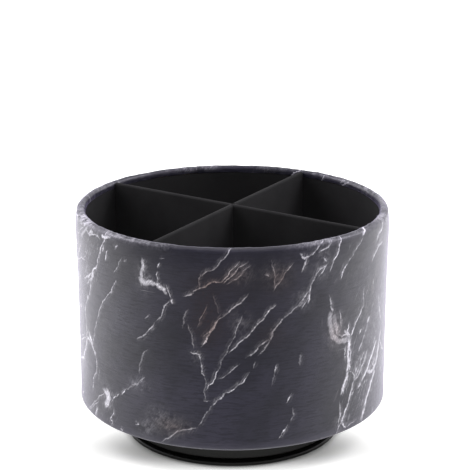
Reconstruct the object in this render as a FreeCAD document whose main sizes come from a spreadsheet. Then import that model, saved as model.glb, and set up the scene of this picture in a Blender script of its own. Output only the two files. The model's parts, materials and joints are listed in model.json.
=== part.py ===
"""Rotating desk organizer: a leather-covered drum with four compartments on a ball-bearing turntable.

Frame: millimetres, +Z up, origin on the desk under the middle of the base.
+X runs along the long divider. The cross divider stands 4 degrees anticlockwise of +Y.

The drum is a fibreboard tube with a round board for a floor. One strip of marbled leather goes
round it, over the rim and under the bottom edge. Black lining covers the inside, and two
half-lapped dividers stand on the floor. Under the drum a moulded top plate turns on twelve
steel balls in a cage, and a pivot bolt holds it to the moulded base plate with its rubber feet.
"""

import FreeCAD, Part
import math
import os
import Sketcher

# ---------------------------------------------------------------- driving dimensions

DIMENSIONS = [
    # drum
    ("drum_diameter", 170.0, "outside of the leather"),
    ("drum_height", 109.4, "underside of the drum to the top of the rim"),
    ("cover_thick", 0.8, "marbled leather"),
    ("core_thick", 3.0, "fibreboard tube"),
    ("lining_thick", 0.7, "black wall lining"),
    ("edge_round", 1.6, "radius of the leather at the bottom edge"),
    ("turn_in", 3.8, "leather turned down inside, from the top of the rim"),
    ("turn_under", 12.0, "leather turned under the board, from the outside"),
    ("butt_gap", 0.2, "gap where two glued edges meet"),
    ("lap_width", 11.0, "overlap of the leather strip at the back"),
    ("lap_rise", 0.35, "how far the overlap stands proud"),
    ("board_thick", 5.0, "drum floor board"),
    ("floor_lining_thick", 0.8, "black lining on the floor"),
    # dividers
    ("divider_board_thick", 1.5, "stiff board inside a divider"),
    ("divider_skin_thick", 0.5, "black lining folded over a divider"),
    ("divider_drop", 0.6, "top of the dividers below the rim"),
    ("divider_play", 0.2, "gap between a divider's end and the wall"),
    ("slot_play", 0.1, "gap on each side of the half-lap slots"),
    # turntable
    ("turntable_height", 20.6, "desk to the underside of the drum"),
    ("base_diameter", 119.0, "base plate"),
    ("base_web", 2.0, "base plate thickness"),
    ("base_rim_round", 0.8, "radius along the top of the base plate's edge"),
    ("skirt_diameter", 117.0, "lower end of the top plate's skirt"),
    ("skirt_draft", 0.6, "how far the skirt leans in at its top"),
    ("skirt_wall", 2.2, "skirt thickness"),
    ("skirt_round", 0.9, "radius at the lower end of the skirt"),
    ("skirt_gap", 1.4, "open gap between skirt and base plate"),
    ("top_web", 2.5, "top plate thickness"),
    ("rib_thick", 1.6, "stiffening ribs"),
    ("top_rib_depth", 4.5, "ribs under the top plate"),
    ("base_rib_height", 2.0, "ribs on the base plate"),
    ("rib_count", 8, "radial ribs on each plate"),
    # ball ring
    ("race_diameter", 84.0, "circle through the ball centres"),
    ("race_width", 9.0, "ring that carries a ball groove"),
    ("race_rise", 5.4, "lower race above the base plate"),
    ("race_gap", 2.6, "between the two races"),
    ("race_play", 0.1, "gap between ball and groove"),
    ("race_core_depth", 4.2, "hollows moulded into the race from below"),
    ("race_core_margin", 2.0, "race wall left beside those hollows"),
    ("ball_diameter", 5.0, "steel balls"),
    ("ball_count", 12, "balls in the cage"),
    ("cage_thick", 2.0, "ball cage"),
    ("cage_width", 8.0, "ball cage, across its ring"),
    ("pocket_play", 0.15, "gap between ball and cage"),
    # pivot
    ("hub_diameter", 22.0, "hub of each plate"),
    ("hub_rise", 7.2, "lower hub above the base plate"),
    ("thrust_washer_thick", 0.5, "nylon washer between the hubs"),
    ("pivot_play", 0.1, "axial and upper radial play of the pivot"),
    ("pivot_running_play", 0.06, "radial play of the bolt in the base hub"),
    ("bolt_diameter", 5.0, "pivot bolt"),
    ("bolt_head_diameter", 9.5, "pivot bolt head"),
    ("bolt_head_height", 3.0, "pivot bolt head"),
    ("bolt_pocket_diameter", 15.0, "pocket for the bolt head in the base"),
    ("bolt_pocket_depth", 4.2, "pocket for the bolt head in the base"),
    ("bolt_tip_set_back", 0.5, "bolt tip below the top plate's face"),
    ("washer_diameter", 13.0, "steel washer under the bolt head"),
    ("washer_thick", 0.8, "steel washer under the bolt head"),
    ("nut_flats", 8.0, "lock nut, across flats"),
    ("nut_height", 4.2, "lock nut"),
    ("nut_set_back", 1.0, "lock nut below the top plate's face"),
    # screws and feet
    ("screw_circle", 60.0, "circle through the mounting screws"),
    ("screw_count", 4, "mounting screws"),
    ("screw_diameter", 3.0, "mounting screw shank"),
    ("screw_head_diameter", 6.5, "mounting screw head"),
    ("screw_head_height", 2.0, "mounting screw head"),
    ("screw_bite", 3.7, "mounting screw in the floor board"),
    ("screw_play", 0.1, "gap round the screw shanks"),
    ("boss_diameter", 10.0, "screw bosses under the top plate"),
    ("boss_depth", 2.0, "screw bosses under the top plate"),
    ("recess_width", 1.0, "arms of the cross recess in the screw heads"),
    ("foot_circle", 104.0, "circle through the rubber feet"),
    ("foot_count", 4, "rubber feet"),
    ("foot_diameter", 9.0, "rubber foot"),
    ("foot_stand", 0.5, "how far the feet lift the base plate"),
    ("foot_recess", 0.8, "recess that holds a foot"),
    ("foot_play", 0.1, "gap round a foot in its recess"),
    ("foot_chamfer", 0.25, "bevel at the bottom of a foot"),
]

SEAM_ANGLE = 135.0  # the strip's ends overlap here, at the back
CROSS_ANGLE = 4.0  # how far the cross divider stands off square to the long one
SCREW_START_ANGLE = 45.0
FOOT_START_ANGLE = 45.0
RIB_START_ANGLE = 22.5
OVERCUT = 1.0  # how far a cutter runs past the face it opens
ROOT = 0.5  # how far a rib's ends are sunk into the walls that they join

doc = FreeCAD.newDocument("RotatingDeskOrganizer")
sheet = doc.addObject("Spreadsheet::Sheet", "Sizes")


class Size:
    """A number together with the spreadsheet formula that gives it."""

    def __init__(self, value, formula):
        self.value = float(value)
        self.formula = formula

    @staticmethod
    def of(other):
        return other if isinstance(other, Size) else Size(other, repr(float(other)))

    def __add__(self, other):
        other = Size.of(other)
        return Size(self.value + other.value, f"({self.formula} + {other.formula})")

    def __sub__(self, other):
        other = Size.of(other)
        return Size(self.value - other.value, f"({self.formula} - {other.formula})")

    def __mul__(self, other):
        other = Size.of(other)
        return Size(self.value * other.value, f"({self.formula} * {other.formula})")

    def __truediv__(self, other):
        other = Size.of(other)
        return Size(self.value / other.value, f"({self.formula} / {other.formula})")

    def __neg__(self):
        return Size(-self.value, f"(-1 * {self.formula})")


def larger(a, b):
    """The larger of two sizes."""
    return Size(max(a.value, b.value), f"max({a.formula}; {b.formula})")


def fill_sheet():
    """Writes the driving dimensions to the sheet and returns them by name."""
    sizes = {}
    for row, (name, value, note) in enumerate(DIMENSIONS, start=1):
        sheet.set(f"A{row}", name)
        sheet.set(f"B{row}", str(value))
        sheet.set(f"C{row}", note)
        sheet.setAlias(f"B{row}", name)
        sizes[name] = Size(value, f"Sizes.{name}")
    doc.recompute()
    return sizes


S = fill_sheet()

# ---------------------------------------------------------------- places worked out from them

ZERO = Size(0.0, "0")

# drum radii, from the outside in
COVER_R = S["drum_diameter"] / 2
CORE_R = COVER_R - S["cover_thick"]
CORE_IN_R = CORE_R - S["core_thick"]
TURN_IN_R = CORE_IN_R - S["cover_thick"]
LINING_R = CORE_IN_R - S["lining_thick"]
ROLL = S["core_thick"] / 2 + S["cover_thick"]
ROLL_R = COVER_R - ROLL
UNDER_R = COVER_R - S["turn_under"]

# drum heights
DRUM_Z = S["turntable_height"]
BOARD_Z = DRUM_Z + S["cover_thick"]
BOARD_TOP_Z = BOARD_Z + S["board_thick"]
FLOOR_Z = BOARD_TOP_Z + S["floor_lining_thick"]
RIM_Z = DRUM_Z + S["drum_height"]
ROLL_Z = RIM_Z - ROLL
TURN_IN_Z = RIM_Z - S["turn_in"]
LINING_TOP_Z = TURN_IN_Z - S["butt_gap"]

# dividers
DIVIDER_THICK = S["divider_board_thick"] + S["divider_skin_thick"] * 2
DIVIDER_TOP_Z = RIM_Z - S["divider_drop"]
DIVIDER_MID_Z = (FLOOR_Z + DIVIDER_TOP_Z) / 2
DIVIDER_HALF = CORE_IN_R - larger(S["cover_thick"], S["lining_thick"]) - S["divider_play"]
SLOT_WIDTH = DIVIDER_THICK + S["slot_play"] * 2

# turntable heights, from the desk up
BASE_Z = S["foot_stand"]
BASE_TOP_Z = BASE_Z + S["base_web"]
RACE_LOW_Z = BASE_TOP_Z + S["race_rise"]
RACE_HIGH_Z = RACE_LOW_Z + S["race_gap"]
BALL_Z = RACE_LOW_Z + S["race_gap"] / 2
SKIRT_Z = BASE_TOP_Z + S["skirt_gap"]
WEB_Z = DRUM_Z - S["top_web"]
HUB_LOW_Z = BASE_TOP_Z + S["hub_rise"]
HUB_HIGH_Z = HUB_LOW_Z + S["thrust_washer_thick"] + S["pivot_play"]
BOLT_POCKET_Z = BASE_Z + S["bolt_pocket_depth"]
WASHER_Z = BOLT_POCKET_Z - S["washer_thick"]
BOLT_SEAT_Z = WASHER_Z - S["pivot_play"]
BOLT_TIP_Z = DRUM_Z - S["bolt_tip_set_back"]
NUT_Z = DRUM_Z - S["nut_set_back"] - S["nut_height"]
BOSS_Z = WEB_Z - S["boss_depth"]

# turntable radii
BASE_R = S["base_diameter"] / 2
SKIRT_R = S["skirt_diameter"] / 2
SKIRT_TOP_R = SKIRT_R - S["skirt_draft"]
SKIRT_IN_R = SKIRT_R - S["skirt_wall"]
RACE_R = S["race_diameter"] / 2
RACE_IN_R = RACE_R - S["race_width"] / 2
RACE_OUT_R = RACE_R + S["race_width"] / 2
BALL_R = S["ball_diameter"] / 2
GROOVE_R = BALL_R + S["race_play"]
HUB_R = S["hub_diameter"] / 2
BOLT_R = S["bolt_diameter"] / 2
LOW_BORE_R = BOLT_R + S["pivot_running_play"]
HIGH_BORE_R = BOLT_R + S["pivot_play"]
SCREW_R = S["screw_diameter"] / 2
SCREW_HOLE_R = SCREW_R + S["screw_play"]
FOOT_R = S["foot_diameter"] / 2


# ---------------------------------------------------------------- sketch and feature helpers


def bind(thing, prop, size):
    """Ties one property of a document object to its formula."""
    thing.setExpression(prop, size.formula)


def new_body(label):
    """An empty body whose label names the piece."""
    made = doc.addObject("PartDesign::Body", label.title().replace("_", ""))
    made.Label = label
    return made


def origin_feature(body, role):
    """One of a body's own origin planes or axes."""
    return next(f for f in body.Origin.OriginFeatures if f.Role == role)


def new_sketch(body, plane, height=None, turn=0.0):
    """A sketch on an origin plane, raised to height and turned about the vertical by degrees."""
    sketch = body.newObject("Sketcher::SketchObject", body.Name + "Sketch")
    sketch.AttachmentSupport = [(origin_feature(body, plane), "")]
    sketch.MapMode = "FlatFace"
    vertical = FreeCAD.Vector(0, 0, 1) if plane == "XY_Plane" else FreeCAD.Vector(0, 1, 0)
    sketch.AttachmentOffset = FreeCAD.Placement(
        FreeCAD.Vector(0, 0, 0), FreeCAD.Rotation(vertical, turn)
    )
    if height is not None:
        bind(sketch, "AttachmentOffset.Base.z", height)
    return sketch


def pin_point(sketch, geometry, position, x, y):
    """Fixes a point of a sketch by its distances from the origin."""
    for kind, size in (("DistanceX", x), ("DistanceY", y)):
        index = sketch.addConstraint(Sketcher.Constraint(kind, -1, 1, geometry, position, size.value))
        bind(sketch, f"Constraints[{index}]", size)


def draw_outline(sketch, corners):
    """A closed outline through corners (x, y), or (x, y, centre_x, centre_y, turn) for a corner
    that the outline reaches by an arc round that centre: turn is +1 anticlockwise, -1 clockwise."""
    count = len(corners)
    drawn = []
    for index, corner in enumerate(corners):
        before = corners[index - 1]
        start = FreeCAD.Vector(before[0].value, before[1].value, 0)
        end = FreeCAD.Vector(corner[0].value, corner[1].value, 0)
        if len(corner) == 2:
            drawn.append((sketch.addGeometry(Part.LineSegment(start, end), False), 1, 2))
            continue
        centre = FreeCAD.Vector(corner[2].value, corner[3].value, 0)
        circle = Part.Circle(centre, FreeCAD.Vector(0, 0, 1), (end - centre).Length)
        angles = [math.atan2(p.y - centre.y, p.x - centre.x) for p in (start, end)]
        if corner[4] > 0:
            arc = Part.ArcOfCircle(circle, angles[0], angles[1])
            ends = (1, 2)
        else:
            arc = Part.ArcOfCircle(circle, angles[1], angles[0])
            ends = (2, 1)
        drawn.append((sketch.addGeometry(arc, False), *ends))
    for index, corner in enumerate(corners):
        geometry, _, end = drawn[index]
        following, start, _ = drawn[(index + 1) % count]
        sketch.addConstraint(Sketcher.Constraint("Coincident", geometry, end, following, start))
        pin_point(sketch, geometry, end, corner[0], corner[1])
        if len(corner) > 2:
            before = corners[index - 1]
            flat = abs(corner[0].value - before[0].value) > abs(corner[1].value - before[1].value)
            kind, size = ("DistanceY", corner[3]) if flat else ("DistanceX", corner[2])
            centre = sketch.addConstraint(Sketcher.Constraint(kind, -1, 1, geometry, 3, size.value))
            bind(sketch, f"Constraints[{centre}]", size)


def draw_rectangle(sketch, x0, x1, y0, y1):
    draw_outline(sketch, [(x0, y0), (x1, y0), (x1, y1), (x0, y1)])


def draw_circle(sketch, x, y, radius):
    circle = Part.Circle(FreeCAD.Vector(x.value, y.value, 0), FreeCAD.Vector(0, 0, 1), radius.value)
    geometry = sketch.addGeometry(circle, False)
    pin_point(sketch, geometry, 3, x, y)
    index = sketch.addConstraint(Sketcher.Constraint("Radius", geometry, radius.value))
    bind(sketch, f"Constraints[{index}]", radius)


def turned(body, corners):
    """Revolves an outline of (radius, height) corners once round the vertical axis."""
    sketch = new_sketch(body, "XZ_Plane")
    draw_outline(sketch, corners)
    feature = body.newObject("PartDesign::Revolution", body.Name + "Turned")
    feature.Profile = sketch
    feature.ReferenceAxis = (sketch, ["V_Axis"])
    feature.Angle = 360
    return feature


def pad(body, sketch, length, downwards=False, midplane=False):
    """Adds material along the sketch's normal."""
    feature = body.newObject("PartDesign::Pad", body.Name + "Pad")
    feature.Profile = sketch
    bind(feature, "Length", length)
    feature.Reversed = downwards
    feature.Midplane = midplane
    return feature


def pocket(body, sketch, length, upwards=False, midplane=False):
    """Removes material along the sketch's normal, downwards unless it says otherwise."""
    feature = body.newObject("PartDesign::Pocket", body.Name + "Pocket")
    feature.Profile = sketch
    bind(feature, "Length", length)
    feature.Reversed = upwards
    feature.Midplane = midplane
    return feature


def ring_of(body, features, count):
    """Repeats features round the vertical axis."""
    feature = body.newObject("PartDesign::PolarPattern", body.Name + "Ring")
    feature.Originals = features
    feature.Axis = (origin_feature(body, "Z_Axis"), [""])
    feature.Angle = 360
    bind(feature, "Occurrences", count)
    body.Tip = feature
    return feature


def ball_groove(body):
    """Cuts the round groove in which the balls run."""
    sketch = new_sketch(body, "XZ_Plane")
    draw_circle(sketch, RACE_R, BALL_Z, GROOVE_R)
    feature = body.newObject("PartDesign::Groove", body.Name + "BallGroove")
    feature.Profile = sketch
    feature.ReferenceAxis = (sketch, ["V_Axis"])
    feature.Angle = 360


def cylinder(name, radius, low, high):
    """A plain cylinder on the vertical axis."""
    made = doc.addObject("Part::Cylinder", name)
    bind(made, "Radius", radius)
    bind(made, "Height", high - low)
    bind(made, "Placement.Base.z", low)
    return made


def washer(label, outer, inner, low, high):
    """A flat ring on the vertical axis."""
    name = label.title().replace("_", "")
    made = doc.addObject("Part::Cut", name)
    made.Base = cylinder(name + "Disc", outer, low, high)
    made.Tool = cylinder(name + "Hole", inner, low - OVERCUT, high + OVERCUT)
    made.Label = label
    return made


def place_on_circle(body, radius, angle, height):
    """Stands a body at an angle on a circle round the vertical axis."""
    turn = math.radians(angle)
    bind(body, "Placement.Base.x", radius * math.cos(turn))
    bind(body, "Placement.Base.y", radius * math.sin(turn))
    bind(body, "Placement.Base.z", height)


def circle_angles(count, start=0.0):
    """Evenly spaced angles in degrees."""
    return [start + 360.0 * index / count for index in range(count)]


# ---------------------------------------------------------------- drum


def outer_cover():
    """Marbled leather: under the bottom edge, up the wall, over the rim and a little way down inside."""
    body = new_body("outer_cover")
    edge = S["edge_round"]
    thick = S["cover_thick"]
    turned(body, [
        (UNDER_R, DRUM_Z),
        (COVER_R - edge, DRUM_Z),
        (COVER_R, DRUM_Z + edge, COVER_R - edge, DRUM_Z + edge, 1),
        (COVER_R, ROLL_Z),
        (TURN_IN_R, ROLL_Z, ROLL_R, ROLL_Z, 1),
        (TURN_IN_R, TURN_IN_Z),
        (CORE_IN_R, TURN_IN_Z),
        (CORE_IN_R, ROLL_Z),
        (CORE_R, ROLL_Z, ROLL_R, ROLL_Z, -1),
        (CORE_R, DRUM_Z + edge),
        (COVER_R - edge, DRUM_Z + thick, COVER_R - edge, DRUM_Z + edge, -1),
        (UNDER_R, DRUM_Z + thick),
    ])
    # the strip's ends overlap at the back, and the upper end stands a little proud
    lap = new_sketch(body, "XZ_Plane", turn=SEAM_ANGLE)
    draw_rectangle(lap, CORE_R, COVER_R + S["lap_rise"], DRUM_Z + edge, ROLL_Z)
    feature = body.newObject("PartDesign::Revolution", "SeamLap")
    feature.Profile = lap
    feature.ReferenceAxis = (lap, ["V_Axis"])
    feature.Midplane = True
    bind(feature, "Angle", S["lap_width"] / COVER_R * math.degrees(1.0))
    return body


def wall_core():
    """Fibreboard tube with a rounded top edge."""
    body = new_body("wall_core")
    edge = S["edge_round"]
    turned(body, [
        (CORE_IN_R, BOARD_Z),
        (COVER_R - edge, BOARD_Z),
        (CORE_R, DRUM_Z + edge, COVER_R - edge, DRUM_Z + edge, 1),
        (CORE_R, ROLL_Z),
        (CORE_IN_R, ROLL_Z, ROLL_R, ROLL_Z, 1),
    ])
    return body


def screw_holes(body, low, high):
    """Bores the mounting screws' holes through a disc."""
    hole = new_sketch(body, "XY_Plane", height=low, turn=SCREW_START_ANGLE)
    draw_circle(hole, S["screw_circle"] / 2, ZERO, SCREW_HOLE_R)
    bore = pocket(body, hole, high - low, upwards=True)
    return ring_of(body, [bore], S["screw_count"])


def disc(label, radius, low, high):
    """A round board or sheet."""
    body = new_body(label)
    turned(body, [(ZERO, low), (radius, low), (radius, high), (ZERO, high)])
    return body


def bottom_board():
    """Fibreboard floor inside the tube, drilled from below for the mounting screws."""
    body = disc("bottom_board", CORE_IN_R, BOARD_Z, BOARD_TOP_Z)
    screw_holes(body, BOARD_Z - OVERCUT, BOARD_Z + S["screw_bite"] + S["screw_play"])
    return body


def underside_cover():
    """Black sheet under the board, up to the turned-under leather."""
    body = disc("underside_cover", UNDER_R - S["butt_gap"], DRUM_Z, BOARD_Z)
    screw_holes(body, DRUM_Z - OVERCUT, BOARD_Z + OVERCUT)
    return body


def wall_lining():
    """Black lining from the board up to the turned-in leather."""
    body = new_body("wall_lining")
    turned(body, [
        (LINING_R, BOARD_TOP_Z),
        (CORE_IN_R, BOARD_TOP_Z),
        (CORE_IN_R, LINING_TOP_Z),
        (LINING_R, LINING_TOP_Z),
    ])
    return body


def upright(half, low, top):
    """Corners of an upright strip with a rounded top edge, up one side and down the other."""
    return [(half, low), (half, top - half), (-half, top - half, ZERO, top - half, 1), (-half, low)]


def divider(name, along_x):
    """A divider's board and the lining folded over it, both slotted for the half-lap."""
    profile_plane, profile_turn = ("YZ_Plane", 0.0) if along_x else ("XZ_Plane", CROSS_ANGLE)
    slot_plane, slot_turn = ("XZ_Plane", CROSS_ANGLE) if along_x else ("YZ_Plane", 0.0)
    half_board = S["divider_board_thick"] / 2
    half = DIVIDER_THICK / 2
    board_top = DIVIDER_TOP_Z - S["divider_skin_thick"]
    board = new_body(name + "_board")
    profile = new_sketch(board, profile_plane, turn=profile_turn)
    draw_outline(profile, upright(half_board, FLOOR_Z, board_top))
    pad(board, profile, DIVIDER_HALF * 2, midplane=True)

    cover = new_body(name + "_cover")
    profile = new_sketch(cover, profile_plane, turn=profile_turn)
    inner_bend = board_top - half_board
    draw_outline(profile, upright(half, FLOOR_Z, DIVIDER_TOP_Z) + [
        (-half_board, FLOOR_Z),
        (-half_board, inner_bend),
        (half_board, inner_bend, ZERO, inner_bend, -1),
        (half_board, FLOOR_Z),
    ])
    pad(cover, profile, DIVIDER_HALF * 2, midplane=True)

    # the long divider is slotted from below and the cross divider from above
    low = FLOOR_Z - OVERCUT if along_x else DIVIDER_MID_Z - S["slot_play"]
    high = DIVIDER_MID_Z + S["slot_play"] if along_x else DIVIDER_TOP_Z + OVERCUT
    for body in (board, cover):
        slot = new_sketch(body, slot_plane, turn=slot_turn)
        draw_rectangle(slot, -SLOT_WIDTH / 2, SLOT_WIDTH / 2, low, high)
        pocket(body, slot, DIVIDER_THICK + OVERCUT, midplane=True)
    return [board, cover]


# ---------------------------------------------------------------- turntable


def radial_ribs(body, spans, root_z, depth, downwards):
    """Radial stiffening ribs over each (inner radius, outer radius) span, all round the plate."""
    sketch = new_sketch(body, "XY_Plane", height=root_z, turn=RIB_START_ANGLE)
    half = S["rib_thick"] / 2
    for inner, outer in spans:
        draw_rectangle(sketch, inner - ROOT, outer + ROOT, -half, half)
    rib = pad(body, sketch, depth, downwards=downwards)
    return ring_of(body, [rib], S["rib_count"])


def turntable_top():
    """Moulded top plate: skirt, upper race, hub with nut pocket, screw bosses and ribs."""
    body = new_body("turntable_top")
    rounding = S["skirt_round"]
    turned(body, [
        (HIGH_BORE_R, HUB_HIGH_Z),
        (HUB_R, HUB_HIGH_Z),
        (HUB_R, WEB_Z),
        (RACE_IN_R, WEB_Z),
        (RACE_IN_R, RACE_HIGH_Z),
        (RACE_OUT_R, RACE_HIGH_Z),
        (RACE_OUT_R, WEB_Z),
        (SKIRT_IN_R, WEB_Z),
        (SKIRT_IN_R, SKIRT_Z),
        (SKIRT_R - rounding, SKIRT_Z),
        (SKIRT_R, SKIRT_Z + rounding, SKIRT_R - rounding, SKIRT_Z + rounding, 1),
        (SKIRT_TOP_R, DRUM_Z),
        (HIGH_BORE_R, DRUM_Z),
    ])
    ball_groove(body)
    radial_ribs(body, [(HUB_R, RACE_IN_R), (RACE_OUT_R, SKIRT_IN_R)], WEB_Z, S["top_rib_depth"], True)

    boss = new_sketch(body, "XY_Plane", height=WEB_Z, turn=SCREW_START_ANGLE)
    draw_circle(boss, S["screw_circle"] / 2, ZERO, S["boss_diameter"] / 2)
    ring_of(body, [pad(body, boss, S["boss_depth"], downwards=True)], S["screw_count"])
    screw_holes(body, BOSS_Z - OVERCUT, DRUM_Z + OVERCUT)

    flats = new_sketch(body, "XY_Plane", height=NUT_Z)
    corner = (S["nut_flats"] / 2 + S["pivot_play"]) / math.cos(math.pi / 6)
    draw_outline(flats, [
        (corner * math.cos(math.radians(angle)), corner * math.sin(math.radians(angle)))
        for angle in circle_angles(6)
    ])
    pocket(body, flats, DRUM_Z - NUT_Z + OVERCUT, upwards=True)
    return body


def base_plate():
    """Moulded base plate: hub over the bolt pocket, lower race, ribs, and recesses for the feet."""
    body = new_body("base_plate")
    rounding = S["base_rim_round"]
    pocket_r = S["bolt_pocket_diameter"] / 2
    turned(body, [
        (pocket_r, BASE_Z),
        (BASE_R, BASE_Z),
        (BASE_R, BASE_TOP_Z - rounding),
        (BASE_R - rounding, BASE_TOP_Z, BASE_R - rounding, BASE_TOP_Z - rounding, 1),
        (RACE_OUT_R, BASE_TOP_Z),
        (RACE_OUT_R, RACE_LOW_Z),
        (RACE_IN_R, RACE_LOW_Z),
        (RACE_IN_R, BASE_TOP_Z),
        (HUB_R, BASE_TOP_Z),
        (HUB_R, HUB_LOW_Z),
        (LOW_BORE_R, HUB_LOW_Z),
        (LOW_BORE_R, BOLT_POCKET_Z),
        (pocket_r, BOLT_POCKET_Z),
    ])
    ball_groove(body)
    radial_ribs(body, [(HUB_R, RACE_IN_R)], BASE_TOP_Z, S["base_rib_height"], False)

    # hollows under the race keep its wall even, and the webs left between them carry it
    hollow = new_sketch(body, "XY_Plane", height=BASE_Z)
    inner = RACE_IN_R + S["race_core_margin"]
    outer = RACE_OUT_R - S["race_core_margin"]
    web = S["rib_thick"] / 2
    step = 2 * math.pi / S["ball_count"].value
    cos, sin = math.cos(step), math.sin(step)
    draw_outline(hollow, [
        (inner, web, ZERO, ZERO, -1),
        (outer, web),
        (outer * cos + web * sin, outer * sin - web * cos, ZERO, ZERO, 1),
        (inner * cos + web * sin, inner * sin - web * cos),
    ])
    cut = pocket(body, hollow, S["race_core_depth"], upwards=True)
    ring_of(body, [cut], S["ball_count"])

    recess = new_sketch(body, "XY_Plane", height=BASE_Z, turn=FOOT_START_ANGLE)
    draw_circle(recess, S["foot_circle"] / 2, ZERO, FOOT_R + S["foot_play"])
    ring_of(body, [pocket(body, recess, S["foot_recess"], upwards=True)], S["foot_count"])
    return body


def ball_cage():
    """Nylon ring that keeps the balls evenly spaced."""
    body = new_body("ball_cage")
    half_thick = S["cage_thick"] / 2
    half_width = S["cage_width"] / 2
    turned(body, [
        (RACE_R - half_width, BALL_Z - half_thick),
        (RACE_R + half_width, BALL_Z - half_thick),
        (RACE_R + half_width, BALL_Z + half_thick),
        (RACE_R - half_width, BALL_Z + half_thick),
    ])
    hole = new_sketch(body, "XY_Plane", height=BALL_Z)
    draw_circle(hole, RACE_R, ZERO, BALL_R + S["pocket_play"])
    ring_of(body, [pocket(body, hole, S["cage_thick"] + OVERCUT, midplane=True)], S["ball_count"])
    return body


def balls():
    """Steel balls, one piece each."""
    made = []
    for index, angle in enumerate(circle_angles(int(S["ball_count"].value)), start=1):
        ball = doc.addObject("Part::Sphere", f"Ball{index:02d}")
        ball.Label = f"ball_{index:02d}"
        bind(ball, "Radius", BALL_R)
        place_on_circle(ball, RACE_R, angle, BALL_Z)
        made.append(ball)
    return made


def cross_recess(body, low, depth, reach):
    """Sinks a cross recess up into a screw head whose face is at low."""
    half = S["recess_width"] / 2
    for turn in (0.0, 90.0):
        arm = new_sketch(body, "XY_Plane", height=low, turn=turn)
        draw_rectangle(arm, -reach, reach, -half, half)
        pocket(body, arm, depth, upwards=True)


def pivot_bolt():
    """Pan-head bolt, put in from below and gripped by the nut in the top plate."""
    body = new_body("pivot_bolt")
    head_r = S["bolt_head_diameter"] / 2
    head_z = BOLT_SEAT_Z - S["bolt_head_height"]
    bevel = S["bolt_head_height"] / 3
    tip = BOLT_R / 5
    turned(body, [
        (ZERO, head_z),
        (head_r - bevel, head_z),
        (head_r, head_z + bevel, head_r - bevel, head_z + bevel, 1),
        (head_r, BOLT_SEAT_Z),
        (BOLT_R, BOLT_SEAT_Z),
        (BOLT_R, BOLT_TIP_Z - tip),
        (BOLT_R - tip, BOLT_TIP_Z),
        (ZERO, BOLT_TIP_Z),
    ])
    cross_recess(body, head_z, S["bolt_head_height"] / 2, head_r / 2)
    return body


def pivot_nut():
    """Hexagonal lock nut with its collar."""
    collar = S["nut_height"] / 4
    prism = doc.addObject("Part::Prism", "NutPrism")
    prism.Polygon = 6
    bind(prism, "Circumradius", S["nut_flats"] / 2 / math.cos(math.pi / 6))
    bind(prism, "Height", S["nut_height"] - collar)
    bind(prism, "Placement.Base.z", NUT_Z)
    whole = doc.addObject("Part::Fuse", "NutWithCollar")
    whole.Base = prism
    collar_r = (BOLT_R + S["nut_flats"] / 2) / 2
    whole.Tool = cylinder("NutCollar", collar_r, NUT_Z + collar, NUT_Z + S["nut_height"])
    nut = doc.addObject("Part::Cut", "PivotNut")
    nut.Base = whole
    bore_r = BOLT_R + S["pivot_running_play"]
    nut.Tool = cylinder("NutBore", bore_r, NUT_Z - OVERCUT, NUT_Z + S["nut_height"] + OVERCUT)
    nut.Label = "pivot_nut"
    return nut


def mounting_screws():
    """Pan-head screws that hold the top plate to the floor board, as one group."""
    head_r = S["screw_head_diameter"] / 2
    head = S["screw_head_height"]
    length = BOARD_Z + S["screw_bite"] - BOSS_Z
    bevel = head / 2
    screws = []
    for index, angle in enumerate(circle_angles(int(S["screw_count"].value), SCREW_START_ANGLE), 1):
        body = new_body(f"mounting_screw_{index}")
        turned(body, [
            (ZERO, -head),
            (head_r - bevel, -head),
            (head_r, bevel - head, head_r - bevel, bevel - head, 1),
            (head_r, ZERO),
            (SCREW_R, ZERO),
            (SCREW_R, length - SCREW_R),
            (ZERO, length),
        ])
        cross_recess(body, -head, head / 2, head_r / 2)
        place_on_circle(body, S["screw_circle"] / 2, angle, BOSS_Z)
        screws.append(body)
    group = doc.addObject("Part::Compound", "MountingScrews")
    group.Links = screws
    group.Label = "mounting_screws"
    return group


def feet():
    """Rubber feet, one piece each, set in the base plate's recesses."""
    made = []
    bevel = S["foot_chamfer"]
    height = S["foot_stand"] + S["foot_recess"]
    for index, angle in enumerate(circle_angles(int(S["foot_count"].value), FOOT_START_ANGLE), 1):
        body = new_body(f"foot_{index}")
        turned(body, [
            (ZERO, ZERO),
            (FOOT_R - bevel, ZERO),
            (FOOT_R, bevel),
            (FOOT_R, height),
            (ZERO, height),
        ])
        place_on_circle(body, S["foot_circle"] / 2, angle, ZERO)
        made.append(body)
    return made


# ---------------------------------------------------------------- build, test and export


def make_all():
    """Every piece of the organizer, drum first."""
    pieces = [outer_cover(), wall_core(), bottom_board(), underside_cover(), wall_lining()]
    pieces.append(disc("floor_lining", LINING_R - S["butt_gap"], BOARD_TOP_Z, FLOOR_Z))
    pieces += divider("long_divider", along_x=True)
    pieces += divider("cross_divider", along_x=False)
    pieces += [turntable_top(), mounting_screws(), pivot_bolt(), pivot_nut()]
    pieces += [ball_cage(), *balls()]
    pieces.append(base_plate())
    pieces.append(washer(
        "thrust_washer", HUB_R, HIGH_BORE_R, HUB_LOW_Z, HUB_LOW_Z + S["thrust_washer_thick"]
    ))
    pieces.append(washer(
        "bolt_washer", S["washer_diameter"] / 2, HIGH_BORE_R, WASHER_Z, BOLT_POCKET_Z
    ))
    pieces += feet()
    return pieces


def check(pieces):
    """Stops the build if any object failed or any piece isn't a valid closed shape."""
    for thing in doc.Objects:
        if any(state in ("Invalid", "Error") for state in thing.State):
            raise RuntimeError(f"{thing.Label} failed: {thing.State}")
    for piece in pieces:
        shape = piece.Shape
        if shape.isNull() or not shape.isValid() or not shape.Solids:
            raise RuntimeError(f"{piece.Label} has no valid solid")


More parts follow.
